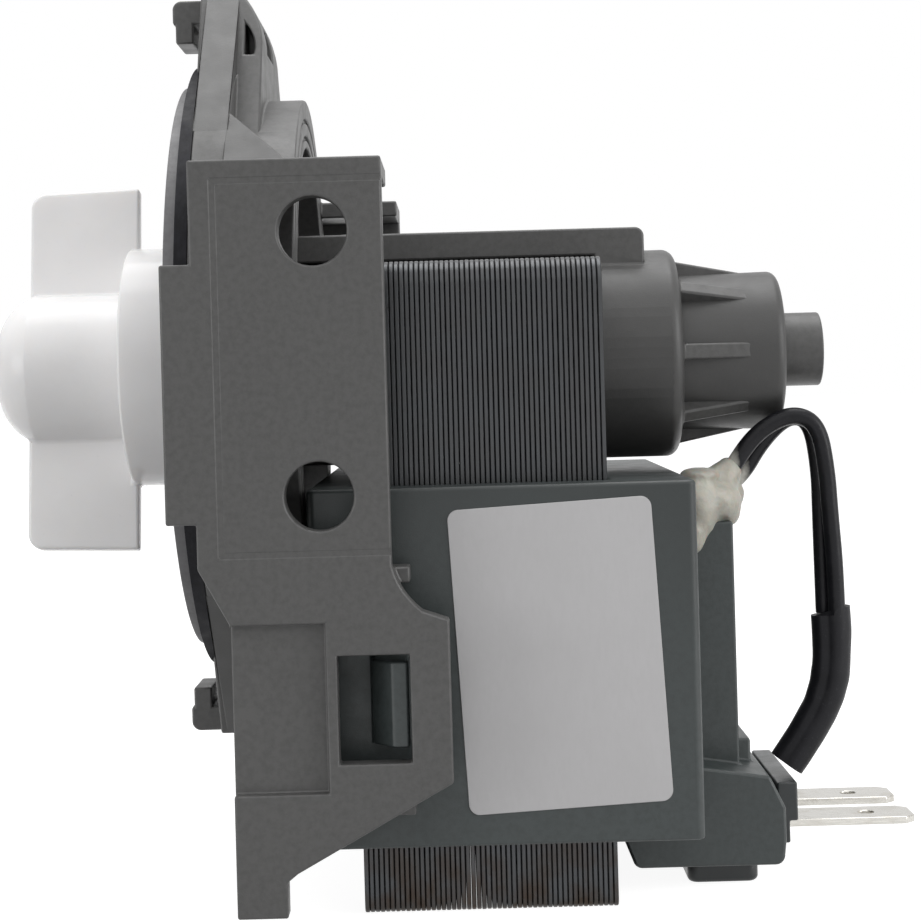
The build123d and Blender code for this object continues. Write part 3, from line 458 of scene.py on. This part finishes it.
def soften(bm, width, segments):
    """Rounds the sharp edges and marks the rounded faces in the edge attribute."""
    sharp = [e for e in bm.edges if len(e.link_faces) == 2 and e.calc_face_angle(0) > sharp_angle]
    made = bmesh.ops.bevel(
        bm,
        geom=sharp,
        offset=width,
        offset_type="OFFSET",
        segments=segments,
        profile=0.5,
        affect="EDGES",
        clamp_overlap=False,
    )
    mark = bm.verts.layers.float.new("edge")
    for face in made["faces"]:
        for vert in face.verts:
            vert[mark] = 1.0
    fill_crowded(bm)


def softened(node, width, segments=2):
    """A CAD node with moulded radii on its edges, in the node's place."""
    bm = cad_mesh(node)
    soften(bm, width, segments)
    piece = piece_from(bm, node + "_moulded", finish[slot_of[node]].material)
    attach(piece, body_of[node])
    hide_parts(node)


for node, slot in slot_of.items():
    cad[node].data.materials.clear()
    cad[node].data.materials.append(finish[slot].material)

softened("pump_body", 0.22 * mm)


def tail_shell():
    """The tail's smooth wall between its fins, as wide as its rounded end."""
    wall_r = 8.9 * mm
    front_x = 53.9 * mm
    rear_x = 65.54 * mm
    rounding = 1.1 * mm
    front_narrowing = 0.2 * mm
    around = 96
    rounding_steps = 8
    profile = [(front_x, wall_r - front_narrowing)]
    for k in range(rounding_steps + 1):
        turn = k / rounding_steps * pi / 2
        profile.append((rear_x - rounding * (1 - sin(turn)), wall_r - rounding * (1 - cos(turn))))
    bm = bmesh.new()
    rings = []
    for x, radius in profile:
        ring = []
        for k in range(around):
            angle = 2 * pi * k / around
            ring.append(bm.verts.new((x, radius * cos(angle), radius * sin(angle))))
        rings.append(ring)
    skin(bm, rings)
    bmesh.ops.recalc_face_normals(bm, faces=bm.faces)
    shell = piece_from(bm, "tail_shell", finish[slot_of["pump_body"]].material)
    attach(shell, body_of["pump_body"])


tail_shell()


def prism(bm, outline, low, high):
    """A closed prism along X from points given as (y, z), in millimetres."""
    ends = []
    for x in (low, high):
        ends.append([bm.verts.new((x * mm, y * mm, z * mm)) for y, z in outline])
    skin(bm, ends)


def ear_flanks():
    """Flat flanks from the ears' tips down to the rim they meet, and the gusset behind each upper one."""
    rim_r = 33.5
    tip = Vector((6.45, 40.7))
    tip_inside = (6.0, 40.75)
    ear_front_x = 2.65
    flange_back_x = 6.3
    root_angle = radians(21.2)
    touch_angle = atan2(tip.x, tip.y) + acos(rim_r / tip.length)
    touch = Vector((sin(touch_angle), cos(touch_angle))) * rim_r
    arc_steps = 10
    outline = [tuple(tip)]
    for k in range(arc_steps + 1):
        angle = touch_angle + (root_angle - touch_angle) * k / arc_steps
        outline.append((rim_r * sin(angle), rim_r * cos(angle)))
    outline.append(tip_inside)
    slope = (touch.x - tip.x) / (touch.y - tip.y)

    gusset_high = 26.35
    gusset_low = 19.6
    gusset_front_x = flange_back_x - 0.3
    gusset_rear_x = 13.4
    gusset_t = 4.0
    rounding = 0.2 * mm
    bm = bmesh.new()
    for side in (-1, 1):
        for up in (1, -1):
            prism(bm, [(y * side, z * up) for y, z in outline], ear_front_x, flange_back_x)
        corners = [
            (gusset_front_x, gusset_high),
            (gusset_front_x, gusset_low),
            (gusset_rear_x, gusset_low),
        ]
        outer = []
        inner = []
        for x, z in corners:
            y = tip.x + slope * (z - tip.y)
            outer.append(bm.verts.new((x * mm, side * y * mm, z * mm)))
            inner.append(bm.verts.new((x * mm, side * (y - gusset_t) * mm, z * mm)))
        skin(bm, [outer, inner])
    bmesh.ops.recalc_face_normals(bm, faces=bm.faces)
    sharp = [e for e in bm.edges if e.calc_face_angle(0.0) > sharp_angle]
    bmesh.ops.bevel(bm, geom=sharp, offset=rounding, segments=2, profile=0.5, affect="EDGES")
    flanks = piece_from(bm, "ear_flanks", finish[slot_of["pump_body"]].material)
    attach(flanks, body_of["pump_body"])


ear_flanks()


def panel_lines():
    """The fine line round each side plate's panel, nearly flush, in a paler tone that is a painted
    highlight.
    """
    line_x = 5.7
    line_top = 17.7
    line_bottom = -19.0
    rear_x = 22.2
    half = 0.32
    below_face = 0.05 * mm
    base_depth = 0.4 * mm
    low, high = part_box("pump_body")
    bm = bmesh.new()
    strips = [
        (line_x - half, line_x + half, line_bottom - half, line_top + half),
        (line_x + half, rear_x, line_top - half, line_top + half),
        (line_x + half, rear_x, line_bottom - half, line_bottom + half),
    ]
    for face_y, inward in ((low[1], 1), (high[1], -1)):
        for x0, x1, z0, z1 in strips:
            corners = [(x0, z0), (x1, z0), (x1, z1), (x0, z1)]
            top = [bm.verts.new((x * mm, face_y + inward * below_face, z * mm)) for x, z in corners]
            base = [bm.verts.new((x * mm, face_y + inward * base_depth, z * mm)) for x, z in corners]
            skin(bm, [top, base])
    bmesh.ops.recalc_face_normals(bm, faces=bm.faces)
    # The whole strip is marked as edge, so it takes the painted edge highlight of the plastic.
    rubbed_and_highlit_edge = bm.verts.layers.float.new("edge")
    for vert in bm.verts:
        vert[rubbed_and_highlit_edge] = 1.0
    lines = piece_from(bm, "panel_lines", finish[slot_of["pump_body"]].material)
    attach(lines, body_of["pump_body"])


panel_lines()
softened("front_cover", 0.12 * mm)
softened("impeller", 0.35 * mm, 3)
softened("coil_casing", 0.3 * mm)
softened("terminal_holder", 0.2 * mm)
softened("near_terminal", 0.1 * mm)
softened("far_terminal", 0.1 * mm)
softened("rating_label", 0.05 * mm)


def outline_at(node, x):
    """The ordered outline of a node's flat end at x, as (y, z) points."""
    bm = bmesh.new()
    bm.from_mesh(cad[node].data)
    bmesh.ops.remove_doubles(bm, verts=bm.verts, dist=weld)
    faces = [f for f in bm.faces if all(abs(v.co.x - x) < 0.01 * mm for v in f.verts)]
    count = {}
    for face in faces:
        for edge in face.edges:
            count[edge] = count.get(edge, 0) + 1
    after = {}
    for edge, times in count.items():
        if times == 1:
            for a, b in (edge.verts, reversed(edge.verts)):
                after.setdefault(a, []).append(b)
    start = min(after, key=lambda v: (v.co.y, v.co.z))
    loop = [start]
    previous, at = None, start
    while True:
        step = [v for v in after[at] if v is not previous]
        previous, at = at, step[0]
        if at is start:
            break
        loop.append(at)
    points = [Vector((v.co.y, v.co.z)) for v in loop]
    bm.free()
    area = sum(a.cross(b) for a, b in zip(points, points[1:] + points[:1]))
    return points if area > 0 else points[::-1]


def shrunk(points, amount):
    """An outline drawn in by an amount all round."""
    result = []
    for before, at, after in zip(points[-1:] + points[:-1], points, points[1:] + points[:1]):
        a = (at - before).normalized()
        b = (after - at).normalized()
        inward = Vector((-a.y - b.y, a.x + b.x))
        size = inward.length_squared
        result.append(at + inward * (2 * amount / size))
    return result


def laminated_core():
    """The stack of punched sheets, each a little out of line with the next."""
    low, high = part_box("stator_core")
    outline = outline_at("stator_core", low.x)
    sheets = 50
    pitch = (high.x - low.x) / sheets
    gap = 0.04 * mm
    burr = 0.09 * mm
    play = 0.03 * mm
    edge_line = shrunk(outline, burr)
    drawn = random.Random(7)
    bm = bmesh.new()
    tone = bm.verts.layers.float.new("sheet")
    rim = bm.verts.layers.float.new("rim")
    for i in range(sheets):
        front = low.x + i * pitch + gap / 2
        back = front + pitch - gap
        shift = Vector((drawn.uniform(-play, 0), drawn.uniform(0, play)))
        grey = drawn.random()
        rings = []
        stations = (
            (front, edge_line),
            (front + burr, outline),
            (back - burr, outline),
            (back, edge_line),
        )
        for x, line in stations:
            ring = []
            for point in line:
                y = point.x + (shift.x if point.x > 0 else -shift.x)
                z = point.y - (shift.y if point.y > 0 else -shift.y)
                ring.append(bm.verts.new((x, y, z)))
            for vert in ring:
                vert[tone] = grey
                vert[rim] = 1.0 if line is outline else 0.0
            rings.append(ring)
        skin(bm, rings)
    bmesh.ops.recalc_face_normals(bm, faces=bm.faces)
    piece = piece_from(bm, "stator_laminations", finish["core_steel"].material, 25)
    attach(piece, "root")
    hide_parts("stator_core")


laminated_core()


# Leads, on one smooth curve each
near_lead_points = [
    (58.4, -7.1, -14.4),
    (60.4, -7.1, -11.0),
    (63.2, -7.1, -8.3),
    (66.4, -7.1, -7.1),
    (68.9, -7.1, -8.5),
    (69.7, -7.1, -13.4),
    (69.95, -7.1, -18.6),
    (70.35, -7.05, -24.4),
    (70.4, -7.0, -29.4),
]
far_lead_points = [
    (58.4, -5.0, -15.4),
    (60.4, -5.0, -14.2),
    (62.8, -5.0, -10.2),
    (65.9, -5.0, -7.3),
    (68.4, -5.0, -8.0),
    (69.2, -5.0, -13.4),
    (69.2, -5.05, -18.6),
    (69.25, -5.05, -24.3),
    (69.3, -5.1, -29.4),
]
sleeve_points = [
    (69.85, -6.0, -29.5),
    (70.0, -6.0, -33.6),
    (69.4, -6.0, -37.9),
    (67.3, -6.0, -42.1),
    (64.5, -6.0, -45.9),
]


def route(name, points, radius):
    """A smooth curve through space with those control points, in millimetres."""
    curve = bpy.data.curves.new(name, "CURVE")
    curve.dimensions = "3D"
    spline = curve.splines.new("NURBS")
    spline.points.add(len(points) - 1)
    for point, place in zip(spline.points, points):
        point.co = (*(Vector(place) * mm), 1.0)
    spline.order_u = 3
    spline.use_endpoint_u = True
    spline.resolution_u = 12
    curve.bevel_depth = radius
    curve.bevel_resolution = 6
    curve.use_fill_caps = True
    piece = bpy.data.objects.new(name, curve)
    bpy.context.scene.collection.objects.link(piece)
    return piece


def line_of(points):
    """Points along the smooth curve that those control points give."""
    guide = route("guide", points, 0.0)
    mesh = bpy.data.meshes.new_from_object(guide.evaluated_get(bpy.context.evaluated_depsgraph_get()))
    line = [v.co.copy() for v in mesh.vertices]
    bpy.data.objects.remove(guide)
    bpy.data.meshes.remove(mesh)
    return line


def section_tube(line, section_at, lift_at, name, material):
    """A tube whose section changes along its line.

    section_at(share, angle) is a radius. lift_at(angle) moves the first ring's rim back, away from
    the rest of the line.
    """
    around = 28
    bm = bmesh.new()
    rings = []
    side = Vector((0, 1, 0))
    for i, place in enumerate(line):
        ahead = line[min(i + 1, len(line) - 1)] - line[max(i - 1, 0)]
        ahead.normalize()
        up = ahead.cross(side).normalized()
        across = up.cross(ahead).normalized()
        share = i / (len(line) - 1)
        ring = []
        for k in range(around):
            angle = 2 * pi * k / around
            spoke = (up * cos(angle) + across * sin(angle)) * section_at(share, angle)
            lift = ahead * (lift_at(angle) if i == 0 else 0.0)
            ring.append(bm.verts.new(place + spoke - lift))
        rings.append(ring)
    skin(bm, rings)
    bmesh.ops.recalc_face_normals(bm, faces=bm.faces)
    piece = piece_from(bm, name, material)
    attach(piece, "root")
    return piece


lead_r = 0.95 * mm


def glue_blob():
    """The glue over the leads' roots: lumps melted into one, seated on the casing and its rear wall."""
    lumps = [
        ((55.0, -9.4, -17.0), (2.7, 4.1, 4.2)),
        ((57.1, -8.0, -16.6), (3.0, 4.6, 2.6)),
        ((58.0, -7.3, -14.6), (1.9, 2.0, 2.4)),
        ((58.8, -7.1, -13.5), (1.5, 1.6, 1.8)),
        ((59.3, -5.2, -15.9), (1.5, 1.6, 1.9)),
        ((58.3, -9.0, -17.6), (1.5, 2.0, 1.7)),
        ((55.4, -9.0, -13.5), (2.2, 3.4, 0.8)),
        ((54.1, -12.0, -19.4), (1.6, 1.5, 2.7)),
    ]
    long_wave = 1.5 * mm
    short_wave = 0.6 * mm
    short_share = 0.4
    wave_height = 0.06 * mm
    bm = bmesh.new()
    for place, radii in lumps:
        size = Matrix.Diagonal((*(Vector(radii) * mm), 1.0))
        bmesh.ops.create_icosphere(
            bm, subdivisions=4, radius=1.0, matrix=Matrix.Translation(Vector(place) * mm) @ size
        )
    mesh = bpy.data.meshes.new("glue_lumps")
    bm.to_mesh(mesh)
    bm.free()
    lumpy = bpy.data.objects.new("glue_lumps", mesh)
    bpy.context.scene.collection.objects.link(lumpy)
    melt = lumpy.modifiers.new("melt", "REMESH")
    melt.mode = "VOXEL"
    melt.voxel_size = 0.22 * mm
    relax = lumpy.modifiers.new("relax", "SMOOTH")
    relax.factor = 0.6
    relax.iterations = 16
    melted = lumpy.evaluated_get(bpy.context.evaluated_depsgraph_get())
    bm = bmesh.new()
    bm.from_mesh(melted.to_mesh())
    bpy.data.objects.remove(lumpy)
    for vert in bm.verts:
        wave = noise.noise(vert.co / long_wave) + short_share * noise.noise(vert.co / short_wave)
        vert.co += vert.normal * wave * wave_height
    blob = piece_from(bm, "glue_blob", finish["glue"].material, 80)
    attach(blob, "root")
    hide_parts("potting_bead")


glue_blob()


def heat_shrink():
    """The sleeve shrunk over both leads and the fuse: an oval with a crease and a torn upper rim."""
    line = line_of(sleeve_points)
    near_side = 1.5 * pi
    crease_angle = near_side - 0.35
    crease_width = 0.24
    crease_depth = 0.5 * mm
    crease_fade = 0.5
    top_r = 2.2 * mm
    narrowing = 0.2 * mm
    flattening = 0.07
    ripples = 7
    ripple_height = 0.09 * mm
    tear_height = 0.85 * mm
    tear_edge = 0.15

    def radius(share, angle):
        off_crease = (angle - crease_angle) / crease_width
        crease = crease_depth * max(0.0, 1 - share * crease_fade) * 2.718 ** -(off_crease**2)
        wide = top_r - narrowing * share
        oval = 1.0 - flattening * sin(angle) ** 2
        ripple = noise.noise(Vector((share * ripples, cos(angle), sin(angle)))) * ripple_height
        return wide * oval - crease + ripple

    def lift(angle):
        return tear_height if cos(angle) > tear_edge else 0.0

    sleeve = section_tube(
        line, radius, lift, "heat_shrink_oval", finish["heat_shrink"].material
    )
    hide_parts("heat_shrink_sleeve", "thermal_fuse")
    return sleeve


shrink = heat_shrink()
near_lead = route("near_lead_wire", near_lead_points, lead_r)
far_lead = route("far_lead_wire", far_lead_points, lead_r)
for wire, node, paint in (
    (near_lead, "near_lead", finish["lead_sleeving"]),
    (far_lead, "far_lead", far_sleeving),
):
    wire.data.materials.append(paint.material)
    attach(wire, "root")
    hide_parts(node)


# Floor, lights and surroundings
def seen_directly(tree):
    """1 for a ray from the camera, a mirror or a glass, and 0 for diffuse light."""
    path = tree.nodes.new("ShaderNodeLightPath")
    total = path.outputs["Is Camera Ray"]
    for name in ("Is Glossy Ray", "Is Transmission Ray"):
        larger = tree.nodes.new("ShaderNodeMath")
        larger.operation = "MAXIMUM"
        tree.links.new(total, larger.inputs[0])
        tree.links.new(path.outputs[name], larger.inputs[1])
        total = larger.outputs[0]
    return total


def mapped(tree, source, out_low, out_high):
    """out_low where the source is 0, out_high where it is 1."""
    node = tree.nodes.new("ShaderNodeMapRange")
    node.inputs["To Min"].default_value = out_low
    node.inputs["To Max"].default_value = out_high
    tree.links.new(source, node.inputs["Value"])
    return node.outputs["Result"]


def stage_floor():
    """A wide pale floor."""
    half = 4.0
    square = ((-half, -half), (half, -half), (half, half), (-half, half))
    corners = [(x, y, floor_z) for x, y in square]
    mesh = bpy.data.meshes.new("floor")
    mesh.from_pydata(corners, [], [(0, 1, 2, 3)])
    floor = bpy.data.objects.new("floor", mesh)
    bpy.context.scene.collection.objects.link(floor)
    material = bpy.data.materials.new("floor")
    material.use_nodes = True
    tree = material.node_tree
    tree.nodes.clear()
    out = tree.nodes.new("ShaderNodeOutputMaterial")
    add = tree.nodes.new("ShaderNodeAddShader")
    matte = tree.nodes.new("ShaderNodeBsdfDiffuse")
    matte.inputs["Color"].default_value = (0.34, 0.34, 0.34, 1)
    glow = tree.nodes.new("ShaderNodeEmission")
    tree.links.new(mapped(tree, seen_directly(tree), 0.0, floor_glow), glow.inputs["Strength"])
    tree.links.new(matte.outputs[0], add.inputs[0])
    tree.links.new(glow.outputs[0], add.inputs[1])
    tree.links.new(add.outputs[0], out.inputs["Surface"])
    mesh.materials.append(material)


floor_glow = 0.925
stage_floor()


def soft_lamp(name, place, target, size, power):
    """A flat lamp that faces its target, with its size in metres and its power in watts."""
    data = bpy.data.lights.new(name, "AREA")
    data.shape = "RECTANGLE"
    data.size, data.size_y = size
    data.energy = power
    lamp = bpy.data.objects.new(name, data)
    lamp.location = place
    lamp.rotation_euler = (Vector(target) - Vector(place)).to_track_quat("-Z", "Y").to_euler()
    bpy.context.scene.collection.objects.link(lamp)


middle = (0.03, 0.0, -0.01)
soft_lamp("top_lamp", (0.02, 0.1, 0.62), middle, (0.7, 0.5), 4.0)
soft_lamp("front_lamp", (0.1, -0.72, 0.66), middle, (1.2, 0.9), 2.55)
soft_lamp("left_lamp", (-0.6, -0.35, 0.08), middle, (0.4, 0.25), 1.3)
soft_lamp("right_lamp", (0.62, -0.28, 0.12), middle, (0.3, 0.5), 2.4)

world = bpy.data.worlds.new("world")
scene.world = world
world.use_nodes = True
sky = world.node_tree.nodes["Background"]
ambient = 0.40
sky_strength = mapped(world.node_tree, seen_directly(world.node_tree), ambient, 1.0)
world.node_tree.links.new(sky_strength, sky.inputs["Strength"])
sky.inputs["Color"].default_value = (1, 1, 1, 1)
